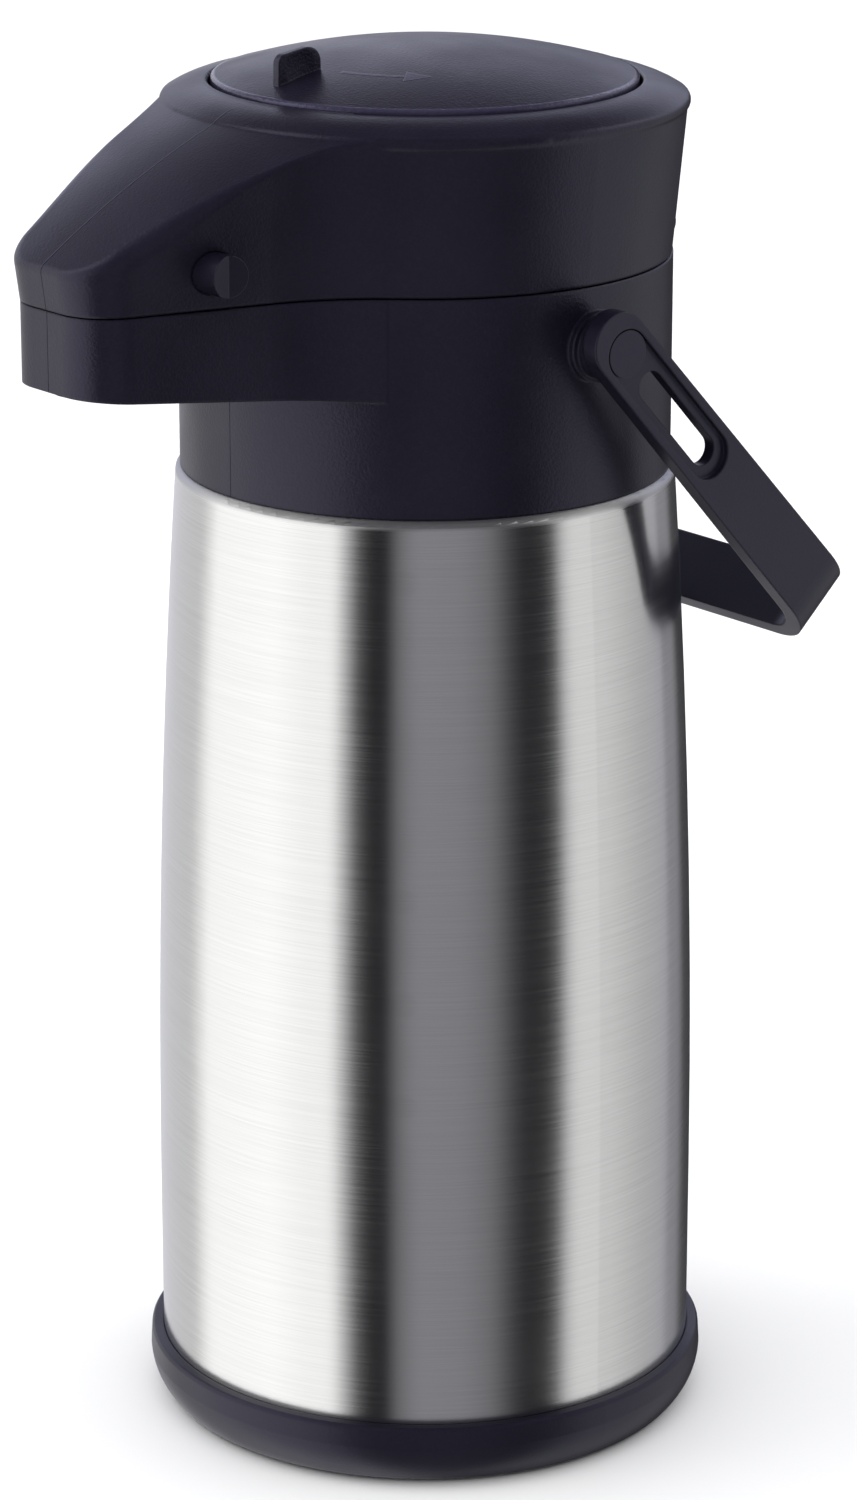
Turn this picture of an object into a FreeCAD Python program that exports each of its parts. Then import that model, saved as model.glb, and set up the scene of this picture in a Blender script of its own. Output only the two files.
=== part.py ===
import FreeCAD, Part
import math
import os
import Sketcher
from FreeCAD import Placement, Rotation, Vector

# A pump-top vacuum jug: a double-walled steel body on a plastic base, with a plastic collar
# and spout, a hinged lid that holds the pump, and a strap handle. Millimetres, +Z up, floor
# at z = 0, spout towards -Y, handle pivots on the X sides.

DRIVING_SIZES = {
    # body
    "body_radius": 72.65,
    "body_straight_top": 65.0,
    "shoulder_height": 262.0,
    "shoulder_taper": 7.35,
    "steel": 0.8,
    "vacuum_gap": 6.5,
    # base
    "base_overhang": 3.55,
    "base_height": 17.0,
    # collar and spout
    "collar_inset": 0.65,
    "collar_height": 56.7,
    "plastic": 2.4,
    "seam_gap": 0.4,
    "spout_length": 56.05,
    "nose_corner": 15.0,
    "spout_taper": 13.96,
    "spout_half_width": 30.3,
    "spout_fillet": 62.0,
    "nozzle_setback": 10.2,
    # lid
    "lid_wall_height": 37.5,
    "lid_flare": 3.48,
    "bezel_rise": 6.8,
    "nose_wall": 10.7,
    "nose_lean": 1.0,
    "beak_arch": 270.0,
    "beak_crossing": 173.0,
    "bezel_width": 9.3,
    "button_step": 1.3,
    "button_crown": 8.0,
    # siphon
    "tube_radius": 4.0,
    "tube_bore": 2.8,
    # handle
    "pivot_y": 2.5,
    "pivot_drop": 15.2,
    "boss_radius": 7.9,
    "arm_thickness": 5.0,
    "arm_half_width": 8.5,
    "grip_half_width": 9.6,
    "handle_rest": 47.2,
    # lid catch buttons
    "catch_radius": 5.3,
    "catch_stand_off": 3.9,
}

# Sizes that follow from the driving ones, in the sheet's own formulas. Angles are in degrees.
DERIVED_SIZES = {
    "shoulder_radius": "=body_radius - shoulder_taper",
    "collar_radius": "=shoulder_radius - collar_inset",
    "neck_radius": "=collar_radius - 23.65",
    "base_radius": "=body_radius + base_overhang",
    "nose_reach": "=collar_radius + spout_length",
    "spout_station": "=collar_radius + 7.55",
    "button_radius": "=collar_radius - bezel_width",
    "tube_offset": "=neck_radius - 14",
    "boss_reach": "=collar_radius + 6.95",
    "handle_length": "=1.55 * body_radius",
    "catch_reach": "=spout_half_width + catch_stand_off",
    "catch_station": "=spout_station + 0.305 * spout_length",
    "seam": "=shoulder_height + collar_height",
    "lid_bottom": "=seam + seam_gap",
    "lid_edge": "=lid_bottom + lid_wall_height",
    "bezel_top": "=lid_edge + bezel_rise",
    "lid_top_radius": "=collar_radius - 0.3 + lid_flare",
    "flare_slope": "=lid_flare / lid_wall_height",
    "bezel_radius": "=button_radius + 0.8",
    "button_edge": "=bezel_top + button_step",
    "inward": "=-plastic",
    "low_grow": "=-0.3",
    "high_grow": "=-0.3 + 50 * flare_slope",
    "inner_low_grow": "=-0.3 - plastic",
    "inner_high_grow": "=-0.3 - plastic + 50 * flare_slope",
    "low_lean": "=0.5 * nose_lean",
    "high_lean": "=0.5 * nose_lean + 50 * 0.5 * nose_lean / nose_wall",
    "pivot_z": "=seam - pivot_drop",
    "side_cos": "=cos(spout_taper)",
    "side_sin": "=sin(spout_taper)",
    "corner_y": "=nose_reach - nose_corner",
    "corner_x": "=spout_half_width - nose_corner / side_cos"
                " + (spout_station - corner_y) * side_sin / side_cos",
    "line_x": "=spout_half_width + spout_fillet * side_cos",
    "line_y": "=-spout_station - spout_fillet * side_sin",
    "line_b": "=line_x * side_sin + line_y * side_cos",
    "line_c": "=line_x ^ 2 + line_y ^ 2 - (collar_radius + spout_fillet) ^ 2",
    "line_t": "=-line_b - sqrt(line_b ^ 2 - line_c)",
    "fillet_x": "=line_x + line_t * side_sin",
    "fillet_y": "=line_y + line_t * side_cos",
    "fillet_share": "=1 / (collar_radius + spout_fillet)",
    "ridge_reach": "=nose_reach + nose_lean + 0.7",
    "beak_run": "=ridge_reach - bezel_radius",
    "beak_climb": "=bezel_top + 0.4 - lid_bottom - nose_wall",
    "beak_sag": "=beak_arch - sqrt(beak_arch ^ 2 - beak_run ^ 2 / 4 - beak_climb ^ 2 / 4)",
    "beak_slope": "=atan(beak_climb / beak_run) / 1 deg",
    "beak_cos": "=cos(beak_slope)",
    "beak_sin": "=sin(beak_slope)",
    "beak_mid_y": "=-(ridge_reach + bezel_radius) / 2",
    "beak_mid_z": "=lid_bottom + nose_wall + beak_climb / 2",
    "barrel_drop": "=beak_crossing - beak_sag",
    "barrel_end": "=beak_crossing - beak_arch + sqrt(beak_arch ^ 2 - 75 ^ 2)",
    "barrel_tilt": "=beak_slope - 90",
    "floor_slope": "=0.0857",
    "floor_z": "=seam - 26.4",
    "vessel_radius": "=body_radius - steel - vacuum_gap - 1.1",
    "mouth_z": "=shoulder_height + 28",
    "funnel_top": "=seam - 7.7",
    "pipe_z": "=seam - 12.7",
    "liner_z": "=seam - 4.4",
    "flange_z": "=seam + 2.3",
    "well_floor": "=flange_z + 7.6",
    "cup_radius": "=button_radius - 9.5",
    "carrier_z": "=button_edge - 19.4",
    "crown_radius": "=(button_radius ^ 2 + button_crown ^ 2) / (2 * button_crown)",
    "hinge_y": "=collar_radius + 4.85",
    "nozzle_y": "=nose_reach - nozzle_setback",
    "arm_outer": "=boss_reach + 0.4 + arm_thickness",
    "arm_inner": "=boss_reach + 0.4",
    "catch_z": "=seam + 9.7",
}

doc = FreeCAD.newDocument("airpot")
sheet = doc.addObject("Spreadsheet::Sheet", "Size")
nodes = []


def fill_sheet():
    """Every size, one per row, with its name as the alias of its cell."""
    for row, (name, value) in enumerate({**DRIVING_SIZES, **DERIVED_SIZES}.items(), start=1):
        sheet.set("A%d" % row, name)
        sheet.set("B%d" % row, str(value))
        sheet.setAlias("B%d" % row, name)
    doc.recompute()


def worth(text):
    """The number that a sum of products of named sizes comes to, such as "seam - 2 * steel"."""
    total = 0.0
    term = None
    sign = 1.0
    action = "*"
    for word in str(text).split():
        if word in "+-" and term is None:
            sign = -sign if word == "-" else sign
        elif word in "+-":
            total += sign * term
            term = None
            sign = -1.0 if word == "-" else 1.0
        elif word in "*/":
            action = word
        else:
            number = float(sheet.get(word)) if word[0].isalpha() else float(word)
            if term is None:
                term = number
            else:
                term = term * number if action == "*" else term / number
    return total + sign * term


def formula(text):
    """The same sum of products, as a FreeCAD expression."""
    words = str(text).split()
    return " ".join("Size." + word if word[0].isalpha() else word for word in words)


def bind(item, **places):
    """Binds properties to sums of named sizes. Two underscores stand for a dot."""
    for place, text in places.items():
        item.setExpression(place.replace("__", "."), formula(text))


def new_body(name):
    return doc.addObject("PartDesign::Body", name)


def new_sketch(body, name, role, height="0"):
    """An empty sketch on one of its body's own planes, moved along the plane's normal."""
    sketch = body.newObject("Sketcher::SketchObject", name)
    plane = [feature for feature in body.Origin.OriginFeatures if feature.Role == role][0]
    sketch.AttachmentSupport = (plane, [""])
    sketch.MapMode = "FlatFace"
    bind(sketch, AttachmentOffset__Base__z=height)
    return sketch


def bind_constraint(sketch, constraint, text):
    number = sketch.addConstraint(constraint)
    sketch.setExpression("Constraints[%d]" % number, formula(text))


def pin_point(sketch, index, end, x, y):
    """Holds a point at named distances from the sketch's origin."""
    for kind, text in (("DistanceX", x), ("DistanceY", y)):
        bind_constraint(sketch, Sketcher.Constraint(kind, -1, 1, index, end, worth(text)), text)


def arc_between(start, end, radius, side):
    """An arc from start to end whose centre lies left (1) or right (-1) of the way there."""
    chord = Vector(end[0] - start[0], end[1] - start[1], 0)
    middle = Vector((start[0] + end[0]) / 2, (start[1] + end[1]) / 2, 0)
    offset = math.sqrt(max(radius ** 2 - (chord.Length / 2) ** 2, 0))
    normal = Vector(-chord.y, chord.x, 0).normalize()
    centre = middle + normal * (offset * side)
    first, last = (start, end) if side > 0 else (end, start)
    angles = [math.atan2(p[1] - centre.y, p[0] - centre.x) for p in (first, last)]
    return Part.ArcOfCircle(Part.Circle(centre, Vector(0, 0, 1), radius), angles[0], angles[1])


def add_loop(sketch, path):
    """A closed outline. A step (x, y) is a straight run to that corner, a step
    (x, y, radius, side) an arc to it, and (x, y, "half", 1) a half circle bulging along x."""
    corners = [(worth(step[0]), worth(step[1])) for step in path]
    runs = []
    for number, step in enumerate(path):
        start = corners[number - 1]
        end = corners[number]
        if len(step) == 2:
            line = Part.LineSegment(Vector(start[0], start[1], 0), Vector(end[0], end[1], 0))
            runs.append((sketch.addGeometry(line, False), 1, 2))
        elif step[2] == "half":
            arc = arc_between(start, end, abs(end[1] - start[1]) / 2, step[3])
            runs.append((sketch.addGeometry(arc, False), 1, 2))
            level = Sketcher.Constraint("DistanceX", -1, 1, runs[-1][0], 3, worth(step[0]))
            bind_constraint(sketch, level, step[0])
        else:
            arc = arc_between(start, end, worth(step[2]), step[3])
            index = sketch.addGeometry(arc, False)
            runs.append((index, 1, 2) if step[3] > 0 else (index, 2, 1))
            bind_constraint(sketch, Sketcher.Constraint("Radius", index, worth(step[2])), step[2])
    for number, (index, first, last) in enumerate(runs):
        before = runs[number - 1]
        sketch.addConstraint(Sketcher.Constraint("Coincident", before[0], before[2], index, first))
        pin_point(sketch, index, last, path[number][0], path[number][1])


def turned(name, *loops):
    """A body turned about Z from outlines given as (radius, height) steps."""
    body = new_body(name)
    sketch = new_sketch(body, name + "_outline", "XZ_Plane")
    for loop in loops:
        add_loop(sketch, loop)
    feature = body.newObject("PartDesign::Revolution", name + "_turn")
    feature.Profile = sketch
    feature.ReferenceAxis = (sketch, ["V_Axis"])
    feature.Angle = 360
    return body


def padded(name, role, height, length, *loops):
    """A body padded along its sketch plane's normal from a named height."""
    body = new_body(name)
    sketch = new_sketch(body, name + "_outline", role, height)
    for loop in loops:
        add_loop(sketch, loop)
    feature = body.newObject("PartDesign::Pad", name + "_pad")
    feature.Profile = sketch
    bind(feature, Length=length)
    return body


def cylinder(name, radius, length, at=("0", "0", "0"), axis="Z"):
    """A cylinder from a point, along +X, -Y or +Z."""
    solid = doc.addObject("Part::Cylinder", name)
    turn = {"X": Rotation(Vector(0, 1, 0), 90), "Y": Rotation(Vector(1, 0, 0), 90)}
    solid.Placement = Placement(Vector(0, 0, 0), turn.get(axis, Rotation()))
    bind(solid, Radius=radius, Height=length)
    bind(solid, Placement__Base__x=at[0], Placement__Base__y=at[1], Placement__Base__z=at[2])
    return solid


def block(name, size, at):
    solid = doc.addObject("Part::Box", name)
    bind(solid, Length=size[0], Width=size[1], Height=size[2])
    bind(solid, Placement__Base__x=at[0], Placement__Base__y=at[1], Placement__Base__z=at[2])
    return solid


def joined(name, *pieces):
    result = doc.addObject("Part::MultiFuse", name)
    result.Shapes = list(pieces)
    return result


def shared(name, *pieces):
    result = doc.addObject("Part::MultiCommon", name)
    result.Shapes = list(pieces)
    return result


def without(name, base, *tools):
    result = doc.addObject("Part::Cut", name)
    result.Base = base
    result.Tool = tools[0] if len(tools) == 1 else joined(name + "_tools", *tools)
    return result


def keep(item, node):
    """Marks a finished sub-part."""
    item.Label = node
    nodes.append(item)
    return item


# ---------------------------------------------------------------- body and base


def make_outer_shell():
    top = "shoulder_height"
    wall = "steel"
    keep(turned("outer_shell", [
        ("body_radius", "base_height - 5"),
        ("body_radius", "body_straight_top"),
        ("shoulder_radius + 0.6", top + " - 1.6", "2880", 1),
        ("shoulder_radius - 0.9", top, "1.8", 1),
        ("collar_radius - 3", top),
        ("collar_radius - 3", top + " + 4"),
        ("collar_radius - 17", top + " + 18", "14", 1),
        ("neck_radius + 0.2", top + " + 18"),
        ("neck_radius + 0.2", "mouth_z"),
        ("neck_radius - 0.6", "mouth_z"),
        ("neck_radius - 0.6", top + " + 17.2"),
        ("collar_radius - 17", top + " + 17.2"),
        ("collar_radius - 3.8", top + " + 4", "13.2", -1),
        ("collar_radius - 3.8", top + " - 0.8"),
        ("shoulder_radius - 1.9", top + " - 0.8"),
        ("shoulder_radius + 0.6 - " + wall, top + " - 1.9", "1.2", -1),
        ("body_radius - " + wall, "body_straight_top", "2879", -1),
        ("body_radius - " + wall, "base_height - 5"),
    ]), "outer_shell")


def make_inner_vessel():
    top = "shoulder_height"
    keep(turned("inner_vessel", [
        ("0", "base_height + 6"),
        ("vessel_radius - 10", "base_height + 6"),
        ("vessel_radius", "base_height + 16", "10", 1),
        ("vessel_radius", top + " - 38"),
        ("neck_radius + 7", top + " - 1", "42", 1),
        ("neck_radius - 1.4", top + " + 7", "8.6", -1),
        ("neck_radius - 1.4", "mouth_z + 0.3"),
        ("neck_radius + 0.2", "mouth_z + 0.3"),
        ("neck_radius + 0.2", "mouth_z + 1.1"),
        ("neck_radius - 2.2", "mouth_z + 1.1"),
        ("neck_radius - 2.2", top + " + 6.8"),
        ("neck_radius + 6.4", top + " - 1.6", "8.9", 1),
        ("vessel_radius - steel", top + " - 38", "41.2", -1),
        ("vessel_radius - steel", "base_height + 16"),
        ("vessel_radius - 10", "base_height + 6.8", "9.2", -1),
        ("0", "base_height + 6.8"),
    ]), "inner_vessel")


def make_shell_bottom():
    """The steel plate that closes the vacuum space, with a raised middle for the getter."""
    keep(turned("shell_bottom", [
        ("0", "base_height - 3"),
        ("18", "base_height - 3"),
        ("22", "base_height - 6.2"),
        ("body_radius - steel - 0.1", "base_height - 6.2"),
        ("body_radius - steel - 0.1", "base_height - 5.4"),
        ("22.4", "base_height - 5.4"),
        ("18.4", "base_height - 2.2"),
        ("0", "base_height - 2.2"),
    ]), "shell_bottom")


def make_base_ring():
    keep(turned("base_ring", [
        ("base_radius - 18.2", "0.8"),
        ("base_radius - 4.4", "0.8"),
        ("base_radius", "base_height - 6", "16", 1),
        ("base_radius - 0.3", "base_height - 1"),
        ("base_radius - 0.9", "base_height"),
        ("body_radius + 0.15", "base_height"),
        ("body_radius + 0.15", "base_height - 6.5"),
        ("base_radius - 18.2", "base_height - 6.5"),
        ("base_radius - 18.2", "4.5"),
        ("base_radius - 13.7", "4.5"),
        ("base_radius - 13.7", "2.8"),
        ("base_radius - 18.2", "2.8"),
    ]), "base_ring")


def make_foot_ring():
    """The rubber ring that the pot stands on, let into the base's underside."""
    keep(turned("foot_ring", [
        ("base_radius - 12", "0"),
        ("base_radius - 6", "0"),
        ("base_radius - 6", "0.7"),
        ("base_radius - 12", "0.7"),
    ]), "foot_ring")


# ---------------------------------------------------------------- spout outline


def spout_outline(grow, lean="0"):
    """The spout's plan outline, offset outwards by one named distance and with its nose moved
    forwards by another. Both curves keep their centres, so the sides stay parallel."""
    nose = "- nose_reach - %s - %s" % (lean, grow)
    corner = "nose_corner + " + grow
    hollow = "spout_fillet - " + grow
    turn_x = "corner_x - %s * side_sin / side_cos" % lean
    end_x = turn_x + " + nose_corner * side_cos + %s * side_cos" % grow
    end_y = "- corner_y - %s - nose_corner * side_sin - %s * side_sin" % (lean, grow)
    start_x = "fillet_x - spout_fillet * side_cos + %s * side_cos" % grow
    start_y = "fillet_y + spout_fillet * side_sin - %s * side_sin" % grow
    back_x = "fillet_x * fillet_share * collar_radius + %s * fillet_x * fillet_share" % grow
    back_y = "fillet_y * fillet_share * collar_radius + %s * fillet_y * fillet_share" % grow
    return [
        (turn_x, nose),
        (end_x, end_y, corner, 1),
        (start_x, start_y),
        (back_x, back_y, hollow, -1),
        (mirrored(back_x), back_y),
        (mirrored(start_x), start_y, hollow, -1),
        (mirrored(end_x), end_y),
        (mirrored(turn_x), nose, corner, 1),
    ]


def mirrored(text):
    """The same sum with every sign changed."""
    words = ("+ " + text if not text.startswith("-") else text).split()
    swap = {"+": "-", "-": "+"}
    return " ".join(swap.get(word, word) for word in words).lstrip("+ ")


def outline_body(name, height, length, grow):
    return padded(name, "XY_Plane", height, length, spout_outline(grow))


# ---------------------------------------------------------------- collar


def trough_block(name, rise):
    """A block across the spout, from its sloping underside up to the seam."""
    back = "48"
    top = "seam + %s * 40" % rise
    low_front = "floor_z + %s + floor_slope * nose_reach - floor_slope * 44" % rise
    low_back = "floor_z + " + rise
    body = new_body(name)
    sketch = new_sketch(body, name + "_side", "YZ_Plane", "- 60")
    add_loop(sketch, [
        ("- nose_reach - 8", low_front),
        ("- " + back, low_back),
        ("- " + back, top),
        ("- nose_reach - 8", top),
    ])
    feature = body.newObject("PartDesign::Pad", name + "_pad")
    feature.Profile = sketch
    feature.Length = 120
    return body


def make_collar():
    ring = turned("collar_ring", [
        ("collar_radius", "shoulder_height + 0.2"),
        ("collar_radius", "seam"),
        ("collar_radius - plastic", "seam"),
        ("collar_radius - plastic", "shoulder_height + 24"),
        ("neck_radius + 3.2", "shoulder_height + 24"),
        ("neck_radius + 3.2", "shoulder_height + 21.5"),
        ("collar_radius - plastic", "shoulder_height + 21.5"),
        ("collar_radius - plastic", "shoulder_height + 0.2"),
    ])
    outer = shared(
        "trough_outer",
        outline_body("trough_outer_plan", "seam - 40", "40", "0"),
        trough_block("trough_outer_side", "0"),
    )
    core = cylinder("trough_core", "collar_radius - 1.2", "80", ("0", "0", "seam - 60"))
    outer_front = without("trough_front", outer, core)
    inner = shared(
        "trough_inner",
        outline_body("trough_inner_plan", "seam - 40", "60", "inward"),
        trough_block("trough_inner_side", "2.5"),
    )
    solids = [ring, outer_front]
    holes = [inner]
    for side, sign in (("left", "- "), ("right", "")):
        start = "collar_radius - 3" if sign == "" else "- boss_reach"
        boss = cylinder("boss_" + side, "boss_radius", "boss_reach - collar_radius + 3",
                        (start, "pivot_y", "pivot_z"), "X")
        bore = cylinder("boss_bore_" + side, "4.06", "40",
                        ("50" if sign == "" else "- 90", "pivot_y", "pivot_z"), "X")
        step = cylinder("boss_step_" + side, "boss_radius + 1.2", "2.6",
                        ("collar_radius - 0.6" if sign == "" else "- collar_radius - 2",
                         "pivot_y", "pivot_z"), "X")
        solids += [boss, step]
        holes.append(bore)
        lug_x = "10.6" if sign == "" else "- 16"
        lug = cylinder("lug_" + side, "4.2", "5.4", (lug_x, "hinge_y", "seam"), "X")
        web = block("lug_web_" + side, ("5.4", "hinge_y - collar_radius + 2.2", "8"),
                    (lug_x, "collar_radius - 2.2", "seam - 8"))
        solids += [lug, web]
    holes.append(cylinder("hinge_bore", "2.05", "60", ("- 30", "hinge_y", "seam"), "X"))
    holes.append(cylinder("nozzle_hole", "7.1", "40", ("0", "- nozzle_y", "seam - 30"), "Z"))
    keep(without("collar", joined("collar_solids", *solids), *holes), "collar")


def make_mouth_funnel():
    """The ring that the mouth's gasket closes on. The outlet pipe passes through its wall."""
    ring = turned("funnel_ring", [
        ("neck_radius + 0.5", "shoulder_height + 18.4"),
        ("neck_radius + 2.9", "shoulder_height + 18.4"),
        ("neck_radius + 2.9", "funnel_top"),
        ("neck_radius - 1.5", "funnel_top"),
        ("neck_radius - 1.5", "funnel_top - 2"),
        ("neck_radius + 0.5", "funnel_top - 4"),
        ("neck_radius + 0.5", "mouth_z + 6.4"),
        ("neck_radius - 3.8", "mouth_z + 6.4"),
        ("neck_radius - 3.8", "mouth_z + 4"),
        ("neck_radius + 0.5", "mouth_z + 4"),
    ])
    hole = cylinder("funnel_hole", "tube_radius + 0.05", "60", ("0", "- 20", "pipe_z"), "Y")
    keep(without("mouth_funnel", ring, hole), "mouth_funnel")


def make_neck_seal():
    keep(turned("neck_seal", [
        ("neck_radius - 3.6", "mouth_z + 1.4"),
        ("neck_radius + 0.2", "mouth_z + 1.4"),
        ("neck_radius + 0.2", "mouth_z + 3.9"),
        ("neck_radius - 3.6", "mouth_z + 3.9"),
    ]), "neck_seal")


# ---------------------------------------------------------------- siphon


def make_dip_tube():
    low = "base_height + 10"
    at = ("0", "- tube_offset", low)
    tube = cylinder("dip_tube_wall", "tube_radius", "pipe_z - 10 - base_height - 10", at)
    bore = cylinder("dip_tube_bore", "tube_bore", "pipe_z - 10 - base_height - 10", at)
    keep(without("dip_tube", tube, bore), "dip_tube")


def make_siphon_elbow():
    column = cylinder("elbow_column", "tube_radius + 2.2", "20.5",
                      ("0", "- tube_offset", "pipe_z - 15.5"))
    chamber = cylinder("elbow_chamber", "tube_radius + 0.3", "17",
                       ("0", "- tube_offset", "pipe_z - 15.6"))
    port = cylinder("elbow_port", "tube_radius + 0.05", "20",
                    ("0", "- tube_offset", "pipe_z"), "Y")
    keep(without("siphon_elbow", column, chamber, port), "siphon_elbow")


def make_tip_ball():
    """The ball that shuts the siphon when the pot falls over."""
    ball = doc.addObject("Part::Sphere", "tip_ball")
    ball.Radius = 3.4
    bind(ball, Placement__Base__y="- tube_offset", Placement__Base__z="pipe_z - 7.7")
    keep(ball, "tip_ball")


def make_outlet_pipe():
    start = ("0", "- tube_offset - 5", "pipe_z")
    reach = "nozzle_y - tube_offset - 10.2"
    tube = cylinder("outlet_wall", "tube_radius", reach, start, "Y")
    bore = cylinder("outlet_bore", "tube_bore", reach, start, "Y")
    keep(without("outlet_pipe", tube, bore), "outlet_pipe")


def make_spout_nozzle():
    outer = cylinder("nozzle_wall", "7", "14.2", ("0", "- nozzle_y", "pipe_z - 9.2"))
    drop = cylinder("nozzle_drop", "3", "10", ("0", "- nozzle_y", "pipe_z - 10"))
    socket = cylinder("nozzle_socket", "tube_radius + 0.05", "7.5",
                      ("0", "- nozzle_y + 7.5", "pipe_z"), "Y")
    keep(without("spout_nozzle", outer, drop, socket), "spout_nozzle")


# ---------------------------------------------------------------- handle


def make_handle():
    """A strap bent into a U, drawn with its arms along its own +Y and then swung down."""
    body = new_body("handle_strap")
    plan = new_sketch(body, "strap_plan", "XY_Plane", "- 16")
    bend = "16"
    add_loop(plan, [
        ("arm_outer", "handle_length - " + bend),
        ("arm_outer - " + bend, "handle_length", bend, 1),
        ("- arm_outer + " + bend, "handle_length"),
        ("- arm_outer", "handle_length - " + bend, bend, 1),
        ("- arm_outer", "- 16"),
        ("- arm_inner", "- 16"),
        ("- arm_inner", "handle_length - 16"),
        ("- arm_outer + 16", "handle_length - 4.5", "11.25", -1),
        ("arm_outer - 16", "handle_length - 4.5"),
        ("arm_inner", "handle_length - 16", "11.15", -1),
        ("arm_inner", "- 16"),
        ("arm_outer", "- 16"),
    ])
    pad = body.newObject("PartDesign::Pad", "strap_pad")
    pad.Profile = plan
    pad.Length = 32
    side = padded("handle_side", "YZ_Plane", "- arm_outer - 5", "2 * arm_outer + 10", [
        ("- 3.5", "- arm_half_width", "half", 1),
        ("handle_length + 1", "- grip_half_width"),
        ("handle_length + 1", "grip_half_width"),
        ("- 3.5", "arm_half_width"),
    ])
    strap = shared("strap", body, side)
    across = "2 * arm_outer + 10"
    holes = [cylinder("pin_holes", "4.06", across, ("- arm_outer - 5", "0", "0"), "X")]
    holes.append(stadium("arm_slots", "- arm_outer - 5", across, "13.5", "40", "4"))
    holes.append(stadium("recess_right", "arm_outer - 1.6", "10", "0", "41.5", "6.5"))
    holes.append(stadium("recess_left", "- arm_outer - 8.4", "10", "0", "41.5", "6.5"))
    handle = without("handle", strap, *holes)
    handle.Placement = Placement(Vector(0, 0, 0), Rotation(Vector(1, 0, 0), -1))
    bind(handle, Placement__Base__y="pivot_y", Placement__Base__z="pivot_z")
    handle.setExpression("Placement.Rotation.Angle", "Size.handle_rest")
    handle.setExpression("Placement.Rotation.Axis.x", "-1")
    keep(handle, "handle")


def stadium(name, start, length, low, high, radius):
    """A round-ended bar along X, its two end axes at low and high along Y."""
    return padded(name, "YZ_Plane", start, length, [
        (high, "- " + radius),
        (high, radius, "half", 1),
        (low, radius),
        (low, "- " + radius, "half", 1),
    ])


def make_handle_pin(side):
    """A pin held in the collar's boss. Its wide head sits in the arm's recess."""
    sign = "" if side == "right" else "- "
    shaft_start = "collar_radius - 2.8" if side == "right" else "- arm_outer + 0.8"
    head_start = "arm_outer - 1.3" if side == "right" else "- arm_outer + 0.1"
    at = "pivot_y", "pivot_z"
    shaft = cylinder("pin_shaft_" + side, "4", "arm_outer - collar_radius + 2",
                     (shaft_start,) + at, "X")
    head = cylinder("pin_head_" + side, "6.1", "1.2", (head_start,) + at, "X")
    keep(joined("handle_pin_" + side, shaft, head), "handle_pin_" + side)


# ---------------------------------------------------------------- lid


def make_lid_hinge_pin():
    pin = cylinder("lid_hinge_pin", "2", "32", ("- 16", "hinge_y", "seam"), "X")
    keep(pin, "lid_hinge_pin")


def screw_places():
    """Where the four screws of the lid's foot stand, as named distances along X and Y."""
    places = []
    for number in range(4):
        angle = math.radians(45 + 90 * number)
        share = "cup_radius * %.4f + 7 * %.4f"
        x = share % (math.cos(angle), math.cos(angle))
        y = share % (math.sin(angle), math.sin(angle))
        places.append((x, y))
    return places


def lid_round():
    """The lid's outer wall, sloping bezel, button well and inward foot, as one outline."""
    return turned("lid_round", [
        ("collar_radius - 0.3", "lid_bottom"),
        ("lid_top_radius", "lid_edge"),
        ("lid_top_radius + 0.5", "lid_edge + 0.6"),
        ("lid_top_radius + 0.2", "lid_edge + 3.1", "2.2", 1),
        ("bezel_radius + 0.6", "bezel_top", "24", 1),
        ("bezel_radius", "bezel_top - 0.6", "0.6", 1),
        ("bezel_radius", "well_floor"),
        ("cup_radius + 2.5", "well_floor"),
        ("cup_radius + 2.5", "flange_z + 2.3"),
        ("bezel_radius + 1.8", "flange_z + 2.3"),
        ("bezel_radius + 1.8", "bezel_top - 2.8"),
        ("lid_top_radius - 2.8", "lid_edge + 0.2"),
        ("collar_radius - 2.6", "lid_bottom"),
    ])


def beak_solid(name, side, low, inset):
    """The spout outline drawn up to the lid's top with flared walls, cut to a barrel-shaped
    top that climbs from the nose to the bezel."""
    bottom = new_body(name + "_foot")
    first = new_sketch(bottom, name + "_low", "XY_Plane", low)
    add_loop(first, spout_outline(side + "low_grow", "low_lean"))
    second = new_sketch(bottom, name + "_high", "XY_Plane", low + " + 50")
    add_loop(second, spout_outline(side + "high_grow", "high_lean"))
    loft = bottom.newObject("PartDesign::AdditiveLoft", name + "_loft")
    loft.Profile = first
    loft.Sections = [second]
    loft.Ruled = True
    barrel = turned(name + "_barrel", [
        ("0", "- 75"),
        ("barrel_end - " + inset, "- 75"),
        ("barrel_end - " + inset, "75", "beak_arch", 1),
        ("0", "75"),
    ])
    barrel.Placement = Placement(Vector(0, 0, 0), Rotation(Vector(1, 0, 0), -60))
    bind(barrel, Placement__Base__y="beak_mid_y + barrel_drop * beak_sin",
         Placement__Base__z="beak_mid_z - barrel_drop * beak_cos",
         Placement__Rotation__Angle="barrel_tilt")
    return shared(name, bottom, barrel)


def rounding_at(point):
    """How far the beak's top edge is rounded: softly on the nose, most at its corners, and
    less and less towards the bezel."""
    nose = worth("- nose_reach")
    corner = worth("- corner_y - nose_corner * side_sin")
    station = worth("- spout_station")
    back = worth("- collar_radius * 0.7")
    stations = [nose, corner, station, back]
    radii = [2.5, 6.0, 2.5, 0.8]
    for number in range(3):
        near, far = stations[number], stations[number + 1]
        if point.y <= far:
            share = max(0.0, (point.y - near) / (far - near))
            return radii[number] + share * (radii[number + 1] - radii[number])
    return radii[-1]


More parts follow.
